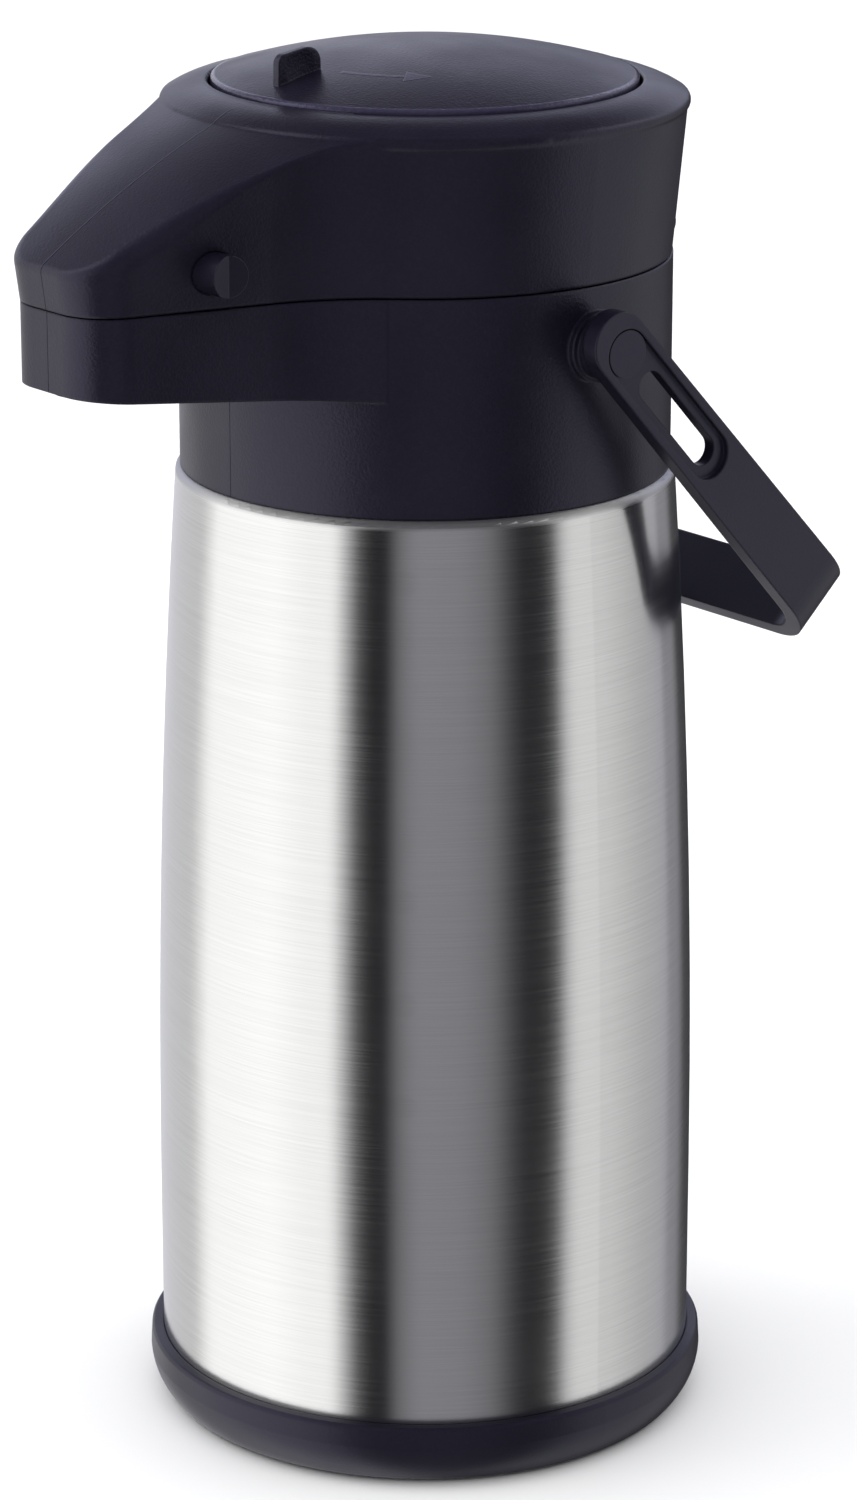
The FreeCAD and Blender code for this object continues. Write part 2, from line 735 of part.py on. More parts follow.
def rounded_beak(beak):
    """The beak with the edge round its top rounded."""
    doc.recompute()
    floor = worth("lid_bottom + 5")
    front = worth("- collar_radius")
    rounds = []
    for number, edge in enumerate(beak.Shape.Edges, start=1):
        first, last = edge.firstVertex().Point, edge.lastVertex().Point
        if min(first.z, last.z) > floor and min(first.y, last.y) < front:
            rounds.append((number, rounding_at(first), rounding_at(last)))
    rounded = doc.addObject("Part::Fillet", "beak_rounded")
    rounded.Base = beak
    rounded.Edges = rounds
    return rounded


def make_lid_shell():
    outer = beak_solid("beak_outer", "", "lid_bottom", "0")
    inner = beak_solid("beak_inner", "inner_", "lid_bottom - 0.5", "2.3")
    core = cylinder("beak_core", "collar_radius - 0.8", "lid_edge - seam + 10",
                    ("0", "0", "seam - 10"))
    upper_core = cylinder("beak_upper_core", "bezel_radius + 0.6", "40",
                          ("0", "0", "lid_edge - 1"))
    beak = without("beak", rounded_beak(outer), inner, core, upper_core)
    tab = block("hinge_tab", ("20", "hinge_y - collar_radius + 1.8", "4.2"),
                ("- 10", "collar_radius - 1.8", "lid_bottom"))
    barrel = cylinder("hinge_barrel", "4.2", "20", ("- 10", "hinge_y", "seam"), "X")
    solids = joined("lid_solids", lid_round(), beak, tab, barrel)
    holes = [
        cylinder("lid_hinge_bore", "2.06", "60", ("- 30", "hinge_y", "seam"), "X"),
        cylinder("catch_holes", "catch_radius + 0.06", "100",
                 ("- 50", "- catch_station", "catch_z"), "X"),
    ]
    for number, (x, y) in enumerate(screw_places()):
        holes.append(cylinder("screw_hole_%d" % number, "1.56", "7",
                              (x, y, "flange_z + 2"), "Z"))
    keep(without("lid_shell", solids, *holes), "lid_shell")


def make_lid_liner():
    """The cup under the pump, screwed to the lid's foot."""
    cup = turned("liner_cup", [
        ("2.5", "liner_z"),
        ("cup_radius", "liner_z"),
        ("cup_radius", "flange_z"),
        ("bezel_radius + 1.4", "flange_z"),
        ("bezel_radius + 1.4", "flange_z + 2"),
        ("cup_radius - 2", "flange_z + 2"),
        ("cup_radius - 2", "liner_z + 2.2"),
        ("2.5", "liner_z + 2.2"),
    ])
    holes = []
    for number, (x, y) in enumerate(screw_places()):
        holes.append(cylinder("liner_hole_%d" % number, "1.6", "10", (x, y, "flange_z - 4"), "Z"))
    for number in range(4):
        angle = math.radians(90 * number)
        place = ("%.4f" % (5.5 * math.cos(angle)), "%.4f" % (5.5 * math.sin(angle)), "liner_z - 2")
        holes.append(cylinder("air_hole_%d" % number, "1.2", "6", place, "Z"))
    keep(without("lid_liner", cup, *holes), "lid_liner")


def make_mouth_gasket():
    keep(turned("mouth_gasket", [
        ("neck_radius - 4", "funnel_top + 0.3"),
        ("neck_radius + 3", "funnel_top + 0.3"),
        ("neck_radius + 3", "liner_z"),
        ("neck_radius - 4", "liner_z"),
    ]), "mouth_gasket")


def make_lid_screws():
    screws = []
    for number, (x, y) in enumerate(screw_places()):
        shank = cylinder("screw_shank_%d" % number, "1.5", "8", (x, y, "flange_z - 0.5"), "Z")
        head = cylinder("screw_head_%d" % number, "2.8", "1.6", (x, y, "flange_z - 1.7"), "Z")
        drive = block("screw_drive_%d" % number, ("0.8", "6", "0.9"),
                      (x + " - 0.4", y + " - 3", "flange_z - 1.8"))
        screws.append(without("screw_%d" % number, joined("screw_raw_%d" % number, shank, head),
                              drive))
    group = doc.addObject("Part::Compound", "lid_screws")
    group.Links = screws
    keep(group, "lid_screws")


def make_air_valve():
    """The rubber mushroom that lets air down into the vessel and not back."""
    keep(turned("air_valve", [
        ("0", "liner_z - 1.6"),
        ("8", "liner_z - 0.9", "48", 1),
        ("8", "liner_z - 0.3"),
        ("2.3", "liner_z - 0.3"),
        ("2.3", "liner_z + 2.6"),
        ("3.6", "liner_z + 2.6"),
        ("2.2", "liner_z + 4.4"),
        ("0", "liner_z + 4.4"),
    ]), "air_valve")


def make_bellows():
    """The pump's folded rubber wall. It is drawn at rest."""
    folds = 5
    outer = []
    inner = []
    for fold in range(folds):
        share = "carrier_z * %.4f - liner_z * %.4f - 2.8 * %.4f"
        low = fold / folds
        mid = (fold + 0.5) / folds
        outer.append(("cup_radius - 9.5", "liner_z + 2.5 + " + share % (low, low, low)))
        outer.append(("cup_radius - 3.6", "liner_z + 2.5 + " + share % (mid, mid, mid)))
        inner.append(("cup_radius - 10.7", "liner_z + 2.5 + " + share % (low, low, low)))
        inner.append(("cup_radius - 4.8", "liner_z + 2.5 + " + share % (mid, mid, mid)))
    outer.append(("cup_radius - 9.5", "carrier_z - 0.3"))
    inner.append(("cup_radius - 10.7", "carrier_z - 0.3"))
    keep(turned("bellows", outer + inner[::-1]), "bellows")


def make_pump_spring():
    """A coil from the liner's floor to the carrier, swept along a helix."""
    wire = 1.1
    coil_radius = 20.0
    low = worth("liner_z + 2.4") + wire
    height = worth("carrier_z - 0.4") - wire - low
    turns = 5
    path = Part.makeHelix(height / turns, height, coil_radius)
    ring = Part.makeCircle(wire, Vector(coil_radius, 0, 0), Vector(0, 1, 0))
    coil = Part.Wire(path).makePipeShell([Part.Wire(ring)], True, True)
    spring = doc.addObject("Part::Feature", "pump_spring")
    spring.Shape = coil
    spring.Placement = Placement(Vector(0, 0, low), Rotation())
    keep(spring, "pump_spring")


def make_plunger_carrier():
    """The plate that the button turns on and pushes down."""
    keep(turned("plunger_carrier", [
        ("0", "carrier_z"),
        ("cup_radius + 1.5", "carrier_z"),
        ("cup_radius + 1.5", "carrier_z + 5"),
        ("cup_radius - 0.5", "carrier_z + 5"),
        ("cup_radius - 0.5", "carrier_z + 3"),
        ("6", "carrier_z + 3"),
        ("6", "carrier_z + 14"),
        ("0", "carrier_z + 14"),
    ]), "plunger_carrier")


def make_push_button():
    """The domed button, its skirt and middle socket, with the lock's finger tab on top."""
    top = "button_edge + button_crown"
    dome = turned("button_dome", [
        ("button_radius", "button_edge - 13.4"),
        ("button_radius", "button_edge - 0.9"),
        ("button_radius - 0.9", "button_edge", "0.9", 1),
        ("0", top, "crown_radius", 1),
        ("0", top + " - 2.2"),
        ("6.06", top + " - 2.3"),
        ("6.06", "carrier_z + 3.4"),
        ("9", "carrier_z + 3.4"),
        ("9", top + " - 2.6"),
        ("button_radius - 2.2", "button_edge - 2.2", "crown_radius", -1),
        ("button_radius - 2.2", "button_edge - 13.4"),
    ])
    blade = padded("lock_blade", "YZ_Plane", "- 1.1", "2.2", [
        ("- button_radius + 6.7", "button_edge + 0.6"),
        ("- button_radius + 20.3", "button_edge + 3.2"),
        ("- button_radius + 20.2", "button_edge + 6.4"),
        ("- button_radius + 16", "button_edge + 10.7", "4", 1),
        ("- button_radius + 9.4", "button_edge + 9.7"),
        ("- button_radius + 6.8", "button_edge + 7.4", "2.6", 1),
    ])
    dishes = []
    for side, x in (("left", "- 30.7"), ("right", "30.7")):
        dish = doc.addObject("Part::Sphere", "lock_dish_" + side)
        dish.Radius = 30
        bind(dish, Placement__Base__x=x, Placement__Base__y="- button_radius + 13.6",
             Placement__Base__z="button_edge + 6")
        dishes.append(dish)
    fin = without("lock_fin", blade, *dishes)
    keep(joined("push_button", dome, fin), "push_button")


def make_catch(side):
    """A squeeze button for the lid's catch, with a grooved face and a tongue inside."""
    away = side == "right"
    stem_start = "14" if away else "- catch_reach"
    stem = cylinder("catch_stem_" + side, "catch_radius", "catch_reach - 14",
                    (stem_start, "- catch_station", "catch_z"), "X")
    tongue = block("catch_tongue_" + side, ("4", "6", "14"),
                   ("14" if away else "- 18", "- catch_station - 3", "catch_z - 16"))
    solid = joined("catch_solid_" + side, stem, tongue)
    profile = [
        ("catch_reach - 1.2", "- catch_station"),
        ("catch_reach + 0.2", "- catch_station - catch_radius - 1"),
        ("catch_reach + 3", "- catch_station"),
        ("catch_reach + 0.2", "- catch_station + catch_radius + 1"),
    ]
    if not away:
        profile = [(mirrored(x), y) for x, y in profile]
    groove = padded("catch_groove_" + side, "XY_Plane", "catch_z - 8", "16", profile)
    keep(without("release_" + side, solid, groove), "release_" + side)


def make_catch_guide():
    """Two sleeves on a bridge inside the beak that the squeeze buttons slide in."""
    sleeves = []
    for side, start in (("left", "- 21"), ("right", "18.4")):
        sleeves.append(cylinder("guide_" + side, "catch_radius + 1.5", "2.6",
                                (start, "- catch_station", "catch_z"), "X"))
    bridge = block("guide_bridge", ("39", "5", "2"),
                   ("- 19.5", "- catch_station - 2.5", "catch_z + catch_radius"))
    bore = cylinder("guide_bore", "catch_radius + 0.06", "80",
                    ("- 40", "- catch_station", "catch_z"), "X")
    keep(without("catch_guide", joined("guide_solids", bridge, *sleeves), bore), "catch_guide")


def write_parts():
    """Checks every object, then writes each sub-part as its own file."""
    os.makedirs("parts", exist_ok=True)
    for item in doc.Objects:
        if "Invalid" in item.State or "Error" in item.State:
            raise RuntimeError("%s did not build: %s" % (item.Name, item.State))
    for item in nodes:
        if item.Shape.isNull() or not item.Shape.isValid() or not item.Shape.Solids:
            raise RuntimeError("%s has no valid solid" % item.Label)
        item.Shape.exportStep("parts/%s.step" % item.Label)
        print("%-18s solids %d volume %.1f" % (item.Label, len(item.Shape.Solids), item.Shape.Volume))


def main():
    fill_sheet()
    make_outer_shell()
    make_inner_vessel()
    make_shell_bottom()
    make_base_ring()
    make_foot_ring()
    make_collar()
    make_mouth_funnel()
    make_neck_seal()
    make_dip_tube()
    make_siphon_elbow()
    make_tip_ball()
    make_outlet_pipe()
    make_spout_nozzle()
    make_handle()
    make_handle_pin("left")
    make_handle_pin("right")
    make_lid_hinge_pin()
    make_lid_shell()
    make_lid_liner()
    make_mouth_gasket()
    make_lid_screws()
    make_air_valve()
    make_bellows()
    make_pump_spring()
    make_plunger_carrier()
    make_push_button()
    make_catch("left")
    make_catch("right")
    make_catch_guide()
    doc.recompute()
    write_parts()


main()
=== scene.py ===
import math

import bmesh
import bpy
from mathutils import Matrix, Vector


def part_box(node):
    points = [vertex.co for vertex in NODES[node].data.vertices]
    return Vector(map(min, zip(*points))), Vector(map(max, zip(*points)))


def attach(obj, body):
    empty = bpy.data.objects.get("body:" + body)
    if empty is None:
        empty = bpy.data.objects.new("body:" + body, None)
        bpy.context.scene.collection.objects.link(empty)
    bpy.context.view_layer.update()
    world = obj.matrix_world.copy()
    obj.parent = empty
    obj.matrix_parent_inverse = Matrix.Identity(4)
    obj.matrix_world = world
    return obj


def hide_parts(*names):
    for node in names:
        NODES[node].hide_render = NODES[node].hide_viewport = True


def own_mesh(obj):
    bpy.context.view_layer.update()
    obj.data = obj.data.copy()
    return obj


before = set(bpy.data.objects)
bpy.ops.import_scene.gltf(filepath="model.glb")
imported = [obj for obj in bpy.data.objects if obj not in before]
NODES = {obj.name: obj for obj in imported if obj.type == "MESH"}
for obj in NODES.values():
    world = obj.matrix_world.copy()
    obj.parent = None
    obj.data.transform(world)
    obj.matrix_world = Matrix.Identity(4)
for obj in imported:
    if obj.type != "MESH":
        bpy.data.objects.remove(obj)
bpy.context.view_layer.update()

# The camera stands to the right of the spout, looking slightly down. Its azimuth, like every
# light's, is turned from the spout's direction (-Y) towards +X.
CAMERA_AZIMUTH = math.radians(50.5)
CAMERA_DISTANCE = 1.2808
CAMERA_HEIGHT = 0.585
CAMERA_TILT = math.radians(17.49)
CAMERA_LENS = 119.9
CAMERA_SHIFT_X = 0.0023

# Colours of the black plastic and of what it mirrors.
NEAR_BLACK = (0.0052, 0.0046, 0.0098, 1)
COOL_SHEEN = (0.74, 0.72, 1, 1)
CEILING = (0.09, 0.09, 0.105, 1)
BACK_GLOW = (0.93, 0.95, 1.2, 1)

# Places on the pot, in metres.
COLLAR_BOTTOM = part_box("collar")[0][2]
RIM_HEIGHT = COLLAR_BOTTOM - 0.0016
BUTTON_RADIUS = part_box("push_button")[1][0]
BUTTON_EDGE = BUTTON_RADIUS - 0.00125
ARROW_RADIUS = 0.0348
ARROW_LINE = 0.0005
ARROW_HEAD = 0.0036
PARTING_LINE = 0.0001
PARTING_BACK = -0.062


# ------------------------------------------------------------------ node helpers


def new_material(name):
    """An empty material with its output and main shader."""
    material = bpy.data.materials.new(name)
    material.use_nodes = True
    tree = material.node_tree
    tree.nodes.clear()
    output = tree.nodes.new("ShaderNodeOutputMaterial")
    shader = tree.nodes.new("ShaderNodeBsdfPrincipled")
    tree.links.new(shader.outputs["BSDF"], output.inputs["Surface"])
    return material, tree, shader


def set_shader(shader, **values):
    """Constant values on the shader's own sockets, named with _ for a space."""
    for name, value in values.items():
        shader.inputs[name.replace("_", " ")].default_value = value


def math_node(tree, operation, first, second=None):
    """One sum on one or two values, each a number or another node's output."""
    node = tree.nodes.new("ShaderNodeMath")
    node.operation = operation
    for socket, value in zip(node.inputs, (first, second)):
        if value is None:
            continue
        if isinstance(value, (int, float)):
            socket.default_value = value
        else:
            tree.links.new(value, socket)
    return node.outputs[0]


def object_coords(tree):
    """The point on the piece in metres, whole and split into x, y and z."""
    coords = tree.nodes.new("ShaderNodeTexCoord").outputs["Object"]
    split = tree.nodes.new("ShaderNodeSeparateXYZ")
    tree.links.new(coords, split.inputs[0])
    return coords, split.outputs[0], split.outputs[1], split.outputs[2]


def scaled(tree, vector, scale):
    """A vector stretched by its own factor along each axis."""
    node = tree.nodes.new("ShaderNodeVectorMath")
    node.operation = "MULTIPLY"
    tree.links.new(vector, node.inputs[0])
    node.inputs[1].default_value = scale
    return node.outputs[0]


def noise(tree, vector, scale, detail=2.0, roughness=0.5):
    """Soft random blotches, about 1 / scale across."""
    node = tree.nodes.new("ShaderNodeTexNoise")
    tree.links.new(vector, node.inputs["Vector"])
    node.inputs["Scale"].default_value = scale
    node.inputs["Detail"].default_value = detail
    node.inputs["Roughness"].default_value = roughness
    return node.outputs["Fac"]


def voronoi(tree, vector, scale):
    """Cells about 1 / scale across, dark at their middles."""
    node = tree.nodes.new("ShaderNodeTexVoronoi")
    tree.links.new(vector, node.inputs["Vector"])
    node.inputs["Scale"].default_value = scale
    return node.outputs["Distance"]


def mapped(tree, value, low, high, to_low, to_high):
    """A value moved from one range to another, held inside it."""
    node = tree.nodes.new("ShaderNodeMapRange")
    tree.links.new(value, node.inputs["Value"])
    for name, number in zip(("From Min", "From Max", "To Min", "To Max"),
                            (low, high, to_low, to_high)):
        node.inputs[name].default_value = number
    return node.outputs[0]


def mixed_colour(tree, share, first, second):
    """From the first colour to the second. A share above 1 goes on past the second."""
    node = tree.nodes.new("ShaderNodeMix")
    node.data_type = "RGBA"
    node.clamp_factor = False
    tree.links.new(share, node.inputs["Factor"])
    node.inputs[6].default_value = first
    node.inputs[7].default_value = second
    return node.outputs[2]


def bumped(tree, height, strength, distance, before=None):
    """The surface's normal, or the one given, tilted by the slope of a height."""
    node = tree.nodes.new("ShaderNodeBump")
    tree.links.new(height, node.inputs["Height"])
    node.inputs["Strength"].default_value = strength
    node.inputs["Distance"].default_value = distance
    if before is not None:
        tree.links.new(before, node.inputs["Normal"])
    return node.outputs[0]


def soft_edges(tree, radius):
    """The surface's normal with its sharp edges read as rounded ones."""
    node = tree.nodes.new("ShaderNodeBevel")
    node.samples = 6
    node.inputs["Radius"].default_value = radius
    return node.outputs[0]


def times(tree, first, second):
    return math_node(tree, "MULTIPLY", first, second)


def plus(tree, first, second):
    return math_node(tree, "ADD", first, second)


# ------------------------------------------------------------------ materials


def brushed_steel(name, lines=1.0, base=(0.66, 0.66, 0.665, 1)):
    """Steel brushed round the Z axis: hair-fine scratches that smear what it mirrors up and
    down, and a slow change of tone."""
    material, tree, shader = new_material(name)
    coords, x, y, z = object_coords(tree)
    fine = noise(tree, scaled(tree, coords, (40, 40, 6000)), 1.0, 2.0)
    coarse = noise(tree, scaled(tree, coords, (20, 20, 2800)), 1.0, 2.0, 0.6)
    slow = noise(tree, scaled(tree, coords, (6, 6, 30)), 1.0, 2.0)
    streaks = plus(tree, times(tree, fine, 0.5), times(tree, coarse, 0.5))
    tone = mapped(tree, streaks, 0.38, 0.62, 0.0, 1.0)
    dark = tuple(c * (1 - 0.09 * lines) for c in base[:3]) + (1,)
    tree.links.new(mixed_colour(tree, tone, dark, base), shader.inputs["Base Color"])
    rough = plus(tree, mapped(tree, streaks, 0.3, 0.7, 0.17, 0.25),
                 mapped(tree, slow, 0.3, 0.7, -0.015, 0.02))
    rough = plus(tree, rough, mapped(tree, z, RIM_HEIGHT - 0.0012, RIM_HEIGHT, 0.0, 0.35))
    tree.links.new(rough, shader.inputs["Roughness"])
    tree.links.new(bumped(tree, streaks, 0.025 * lines, 0.0001), shader.inputs["Normal"])
    tangent = tree.nodes.new("ShaderNodeTangent")
    tangent.direction_type = "RADIAL"
    tangent.axis = "Z"
    tree.links.new(tangent.outputs[0], shader.inputs["Tangent"])
    set_shader(shader, Metallic=1.0, Anisotropic=0.8, Anisotropic_Rotation=0.25)
    return material


def grain_height(tree, coords):
    """The pits and specks of spark-eroded plastic."""
    cells = voronoi(tree, coords, 1300)
    fine = noise(tree, coords, 2600, 2.0)
    return plus(tree, times(tree, cells, 0.7), times(tree, fine, 0.6)), cells


def seam_line(tree, x, y):
    """A mask for the fine line down the front where the mould's halves met."""
    away = math_node(tree, "ABSOLUTE", x)
    near = mapped(tree, away, PARTING_LINE, 3 * PARTING_LINE, 1.0, 0.0)
    front = mapped(tree, y, PARTING_BACK - 0.0005, PARTING_BACK, 1.0, 0.0)
    return times(tree, near, front)


def arrow_mask(tree, away, radius, start, neck, tip):
    """A curved arrow round the button's middle. Its angles are in degrees from the front."""
    off_line = math_node(tree, "ABSOLUTE", plus(tree, radius, -ARROW_RADIUS))
    line = mapped(tree, off_line, ARROW_LINE, 1.6 * ARROW_LINE, 1.0, 0.0)
    line = times(tree, line, mapped(tree, away, start, start + 0.6, 0.0, 1.0))
    line = times(tree, line, mapped(tree, away, neck, neck + 0.3, 1.0, 0.0))
    half_width = mapped(tree, away, neck, tip, ARROW_HEAD, 0.0)
    head = math_node(tree, "SUBTRACT", half_width, off_line)
    head = mapped(tree, head, 0.0, 0.0003, 0.0, 1.0)
    head = times(tree, head, mapped(tree, away, neck, neck + 0.4, 0.0, 1.0))
    return math_node(tree, "MAXIMUM", line, head)


def lock_arrows(tree, x, y):
    """The long arrow that shows which way the button turns, and the short one back."""
    radius = math_node(tree, "SQRT", plus(tree, times(tree, x, x), times(tree, y, y)))
    turn = math_node(tree, "ARCTAN2", x, times(tree, y, -1.0))
    degrees = math_node(tree, "DEGREES", turn)
    forward = arrow_mask(tree, degrees, radius, 13, 42, 54)
    back = arrow_mask(tree, times(tree, degrees, -1.0), radius, 22, 39, 47)
    return math_node(tree, "MAXIMUM", forward, back)


def smooth_rim_and_highlight(tree, x, y):
    """A mask for the button's rim, which is smoother than its grained top, and whose colour is made paler
    as a painted highlight along its rounding.
    """
    radius = math_node(tree, "SQRT", plus(tree, times(tree, x, x), times(tree, y, y)))
    return mapped(tree, radius, BUTTON_EDGE, BUTTON_EDGE + 0.0005, 0.0, 1.0)


def grained_plastic(name, parting=False, arrows=False, grain=1.0, edge=0.0008):
    """Moulded plastic with a fine eroded grain and slightly softened edges."""
    material, tree, shader = new_material(name)
    coords, x, y, z = object_coords(tree)
    height, cells = grain_height(tree, coords)
    cloud = noise(tree, coords, 30, 3.0)
    surface = bumped(tree, height, 0.3 * grain, 0.0001, soft_edges(tree, edge))
    tone = plus(tree, times(tree, cloud, 0.6), times(tree, cells, 0.4))
    tone = mapped(tree, tone, 0.25, 0.75, 0.0, 0.8)
    marks = None
    if parting:
        marks = seam_line(tree, x, y)
    if arrows:
        marks = lock_arrows(tree, x, y)
    if marks is not None:
        surface = bumped(tree, marks, 1.0, 0.0005, surface)
        # Painted highlight: the arrows' colour is made much paler, standing for the light caught by their
        # raised lines. The parting line is made a little paler too.
        tone = plus(tree, tone, times(tree, marks, 4.0 if arrows else 1.0))
    tree.links.new(surface, shader.inputs["Normal"])
    pale = tuple(c * 1.6 + 0.001 for c in NEAR_BLACK[:3]) + (1,)
    rough = mapped(tree, cloud, 0.3, 0.7, 0.30, 0.42)
    if arrows:
        # The rim is made smoother, and its colour is made paler: a painted highlight standing for the
        # bright line light makes on the rim's rounding.
        rim_and_highlight = smooth_rim_and_highlight(tree, x, y)
        rough = math_node(tree, "SUBTRACT", rough, times(tree, rim_and_highlight, 0.22))
        tone = plus(tree, tone, times(tree, rim_and_highlight, 6.0))
    tree.links.new(rough, shader.inputs["Roughness"])
    tree.links.new(mixed_colour(tree, tone, NEAR_BLACK, pale), shader.inputs["Base Color"])
    set_shader(shader, Specular_Tint=COOL_SHEEN, Specular_IOR_Level=0.45)
    return material


def smooth_plastic(name, base, low, high):
    """Plain moulded plastic with faint flow marks."""
    material, tree, shader = new_material(name)
    coords, x, y, z = object_coords(tree)
    cloud = noise(tree, coords, 60, 4.0)
    fine = noise(tree, coords, 1800, 2.0)
    tree.links.new(bumped(tree, fine, 0.08, 0.0001), shader.inputs["Normal"])
    pale = tuple(min(1.0, c * 1.25 + 0.002) for c in base[:3]) + (1,)
    tree.links.new(mixed_colour(tree, cloud, base, pale), shader.inputs["Base Color"])
    tree.links.new(mapped(tree, cloud, 0.3, 0.7, low, high), shader.inputs["Roughness"])
    return material


def rubber(name, base, bumps=1200):
    """Matt rubber or silicone with a fine unevenness."""
    material, tree, shader = new_material(name)
    coords, x, y, z = object_coords(tree)
    cloud = noise(tree, coords, 45, 3.0)
    fine = noise(tree, coords, bumps, 3.0)
    tree.links.new(bumped(tree, fine, 0.2, 0.0002), shader.inputs["Normal"])
    pale = tuple(min(1.0, c * 1.3 + 0.003) for c in base[:3]) + (1,)
    tree.links.new(mixed_colour(tree, cloud, base, pale), shader.inputs["Base Color"])
    tree.links.new(mapped(tree, cloud, 0.3, 0.7, 0.62, 0.8), shader.inputs["Roughness"])
    return material


def assign(material, *names):
    """The material put on each node named."""
    for name in names:
        node = NODES[name]
        node.data.materials.clear()
        node.data.materials.append(material)


def dress_nodes():
    """Every node's material."""
    assign(brushed_steel("body_steel"), "outer_shell")
    assign(brushed_steel("inner_steel", 0.5, (0.6, 0.6, 0.61, 1)), "inner_vessel", "shell_bottom")
    assign(grained_plastic("grained_black", parting=True, grain=1.8, edge=0.0012), "collar", "lid_shell")
    assign(grained_plastic("button_black", arrows=True, grain=2.6), "push_button")
    assign(grained_plastic("strap_black", grain=0.7), "handle", "base_ring")
    assign(grained_plastic("satin_black", grain=0.4, edge=0.0004),
           "handle_pin_left", "handle_pin_right", "release_left", "release_right")
    assign(smooth_plastic("inner_black", (0.03, 0.03, 0.034, 1), 0.4, 0.55),
           "mouth_funnel", "spout_nozzle", "lid_liner", "catch_guide", "plunger_carrier")
    assign(smooth_plastic("natural_plastic", (0.66, 0.66, 0.62, 1), 0.35, 0.5),
           "dip_tube", "siphon_elbow", "outlet_pipe")
    assign(rubber("silicone", (0.46, 0.46, 0.43, 1)),
           "neck_seal", "mouth_gasket", "air_valve", "bellows")
    assign(rubber("foot_rubber", (0.018, 0.018, 0.019, 1), 900), "foot_ring")
    assign(brushed_steel("wire_steel", 0.4, (0.55, 0.55, 0.56, 1)),
           "tip_ball", "lid_hinge_pin", "lid_screws", "pump_spring")


# ------------------------------------------------------------------ pump


def shortening(node_name, piece_name):
    """A copy of a node that stands for it, hung on the lid's body, with the node itself hidden."""
    node = NODES[node_name]
    piece = bpy.data.objects.new(piece_name, node.data.copy())
    piece.matrix_world = node.matrix_world
    bpy.context.scene.collection.objects.link(piece)
    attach(piece, "lid")
    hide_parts(node_name)
    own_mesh(piece)


# ------------------------------------------------------------------ stage


def make_floor():
    """A wide white floor that shiny pieces don't mirror."""
    mesh = bpy.data.meshes.new("floor")
    shape = bmesh.new()
    bmesh.ops.create_circle(shape, cap_ends=True, segments=96, radius=6.0)
    shape.to_mesh(mesh)
    shape.free()
    floor = bpy.data.objects.new("floor", mesh)
    floor.location.z = -0.0005
    bpy.context.scene.collection.objects.link(floor)
    material, tree, shader = new_material("floor_white")
    coords, x, y, z = object_coords(tree)
    cloud = noise(tree, coords, 3, 2.0)
    tree.links.new(mixed_colour(tree, cloud, (0.9, 0.9, 0.9, 1), (0.93, 0.93, 0.93, 1)),
                   shader.inputs["Base Color"])
    set_shader(shader, Roughness=0.9)
    mesh.materials.append(material)
    floor.visible_glossy = False


def add_light(name, azimuth, height, distance, size, power, aim=0.2, mirrored=True):
    """A soft rectangle that looks at the pot's axis. The azimuth is counted like the camera's.
    Shiny pieces show it only if it is mirrored."""
    angle = math.radians(azimuth)
    data = bpy.data.lights.new(name, "AREA")
    data.shape = "RECTANGLE"
    data.size, data.size_y = size
    data.energy = power
    light = bpy.data.objects.new(name, data)
    light.location = (math.sin(angle) * distance, -math.cos(angle) * distance, height)
    look = Vector((0, 0, aim)) - light.location
    light.rotation_euler = look.to_track_quat("-Z", "Y").to_euler()
    light.visible_glossy = mirrored
    bpy.context.scene.collection.objects.link(light)
    return light


def overlaid(tree, share, below, colour):
    """A colour laid over what is already there."""
    node = tree.nodes.new("ShaderNodeMix")
    node.data_type = "RGBA"
    tree.links.new(share, node.inputs["Factor"])
    tree.links.new(below, node.inputs[6])
    node.inputs[7].default_value = colour
    return node.outputs[2]


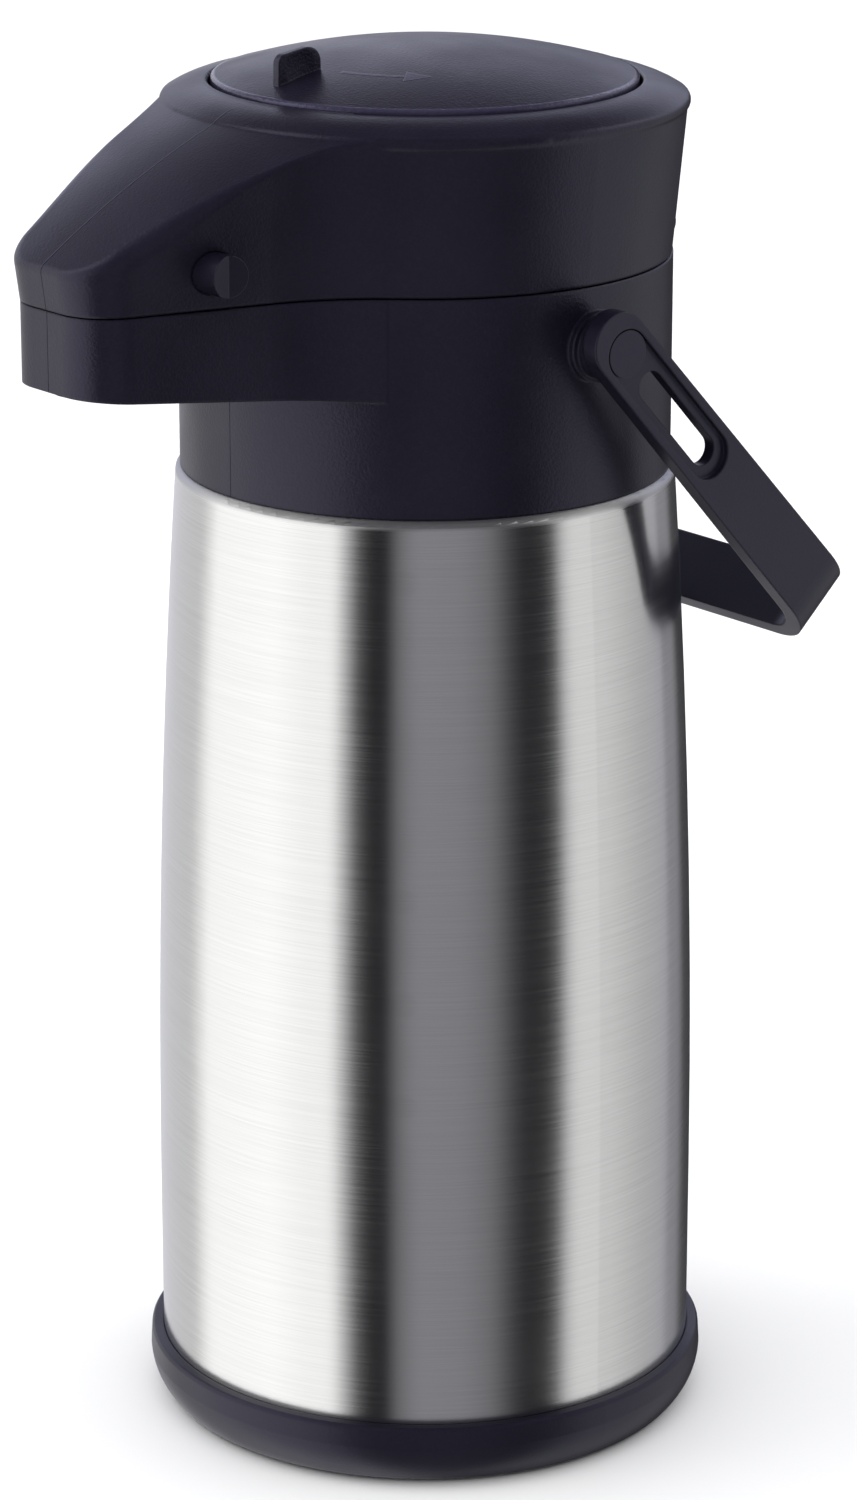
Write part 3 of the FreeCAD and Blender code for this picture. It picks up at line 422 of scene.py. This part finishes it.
def make_world():
    """A pale room whose walls are bright and dim in turn round the pot, as a photographer's
    cards and soft boxes are, under an even white ceiling."""
    world = bpy.data.worlds.new("studio")
    bpy.context.scene.world = world
    world.use_nodes = True
    tree = world.node_tree
    tree.nodes.clear()
    output = tree.nodes.new("ShaderNodeOutputWorld")
    light = tree.nodes.new("ShaderNodeBackground")
    tree.links.new(light.outputs[0], output.inputs[0])
    coords = tree.nodes.new("ShaderNodeTexCoord").outputs["Generated"]
    split = tree.nodes.new("ShaderNodeSeparateXYZ")
    tree.links.new(coords, split.inputs[0])
    # azimuth counted like the camera's, from -Y towards +X, as a share of a turn from the back
    angle = math_node(tree, "ARCTAN2", split.outputs[0], times(tree, split.outputs[1], -1.0))
    turn = plus(tree, math_node(tree, "DIVIDE", angle, 2 * math.pi), 0.5)
    ramp = tree.nodes.new("ShaderNodeValToRGB")
    ramp.color_ramp.interpolation = "LINEAR"
    tree.links.new(turn, ramp.inputs[0])
    stops = world_stops()
    elements = ramp.color_ramp.elements
    while len(elements) < len(stops):
        elements.new(0.5)
    for element, (place, colour) in zip(elements, stops):
        element.position = place
        element.color = colour
    away_x = times(tree, split.outputs[0], -math.sin(CAMERA_AZIMUTH))
    away_y = times(tree, split.outputs[1], math.cos(CAMERA_AZIMUTH))
    behind = mapped(tree, plus(tree, away_x, away_y), 0.3, 0.85, 0.0, 1.0)
    behind = times(tree, behind, mapped(tree, split.outputs[2], 0.04, 0.2, 0.0, 1.0))
    behind = times(tree, behind, mapped(tree, split.outputs[2], 0.38, 0.55, 1.0, 0.0))
    overhead = mapped(tree, split.outputs[2], 0.42, 0.62, 0.0, 1.0)
    colour = overlaid(tree, behind, ramp.outputs[0], BACK_GLOW)
    colour = overlaid(tree, overhead, colour, CEILING)
    tree.links.new(colour, light.inputs["Color"])
    light.inputs["Strength"].default_value = 1.0


def world_stops():
    """Bright and dim walls by angle from the camera, in degrees to the right."""
    walls = [
        (-180, 0.85), (-168, 0.75), (-160, 0.78), (-120, 0.78), (-108, 1.45), (-70, 1.55),
        (-52, 1.4), (-41, 1.4), (-36, 0.7), (-30, 0.10), (-24, 0.02), (-17, 0.02),
        (-11, 0.23), (-3, 0.33), (16, 0.31), (28, 0.24), (38, 0.08), (44, 0.03), (54, 0.03),
        (59, 0.10), (64, 0.72), (68, 0.98), (76, 0.98), (84, 0.88), (107, 0.64), (126, 0.52), (142, 0.32),
        (150, 0.07), (177, 0.03),
    ]
    camera = math.degrees(CAMERA_AZIMUTH)
    stops = []
    for right, value in walls:
        place = (camera + right + 180) % 360 / 360
        cool = 1.06 if abs(right) > 120 or value < 0.4 else 0.985
        stops.append((place, (value, value, value * cool, 1)))
    return sorted(stops)


def make_camera():
    """A long lens, turned to the pot's axis."""
    data = bpy.data.cameras.new("camera")
    data.lens = CAMERA_LENS
    data.sensor_width = 36
    data.shift_x = CAMERA_SHIFT_X
    camera = bpy.data.objects.new("camera", data)
    camera.location = (math.sin(CAMERA_AZIMUTH) * CAMERA_DISTANCE,
                       -math.cos(CAMERA_AZIMUTH) * CAMERA_DISTANCE, CAMERA_HEIGHT)
    camera.rotation_euler = (math.pi / 2 - CAMERA_TILT, 0, CAMERA_AZIMUTH)
    bpy.context.scene.collection.objects.link(camera)
    bpy.context.scene.camera = camera


dress_nodes()
shortening("bellows", "pump_bellows")
shortening("pump_spring", "pump_coil")
make_floor()
make_world()
make_camera()
add_light("key", -40, 1.8, 1.4, (1.2, 1.2), 8, 0.3)
add_light("back", 160, 1.5, 1.6, (1.4, 0.8), 5, 0.35)
add_light("sheet", 0, 5.0, 0.2, (12.0, 12.0), 680, 0, mirrored=False)
bpy.context.scene.view_settings.view_transform = "Standard"
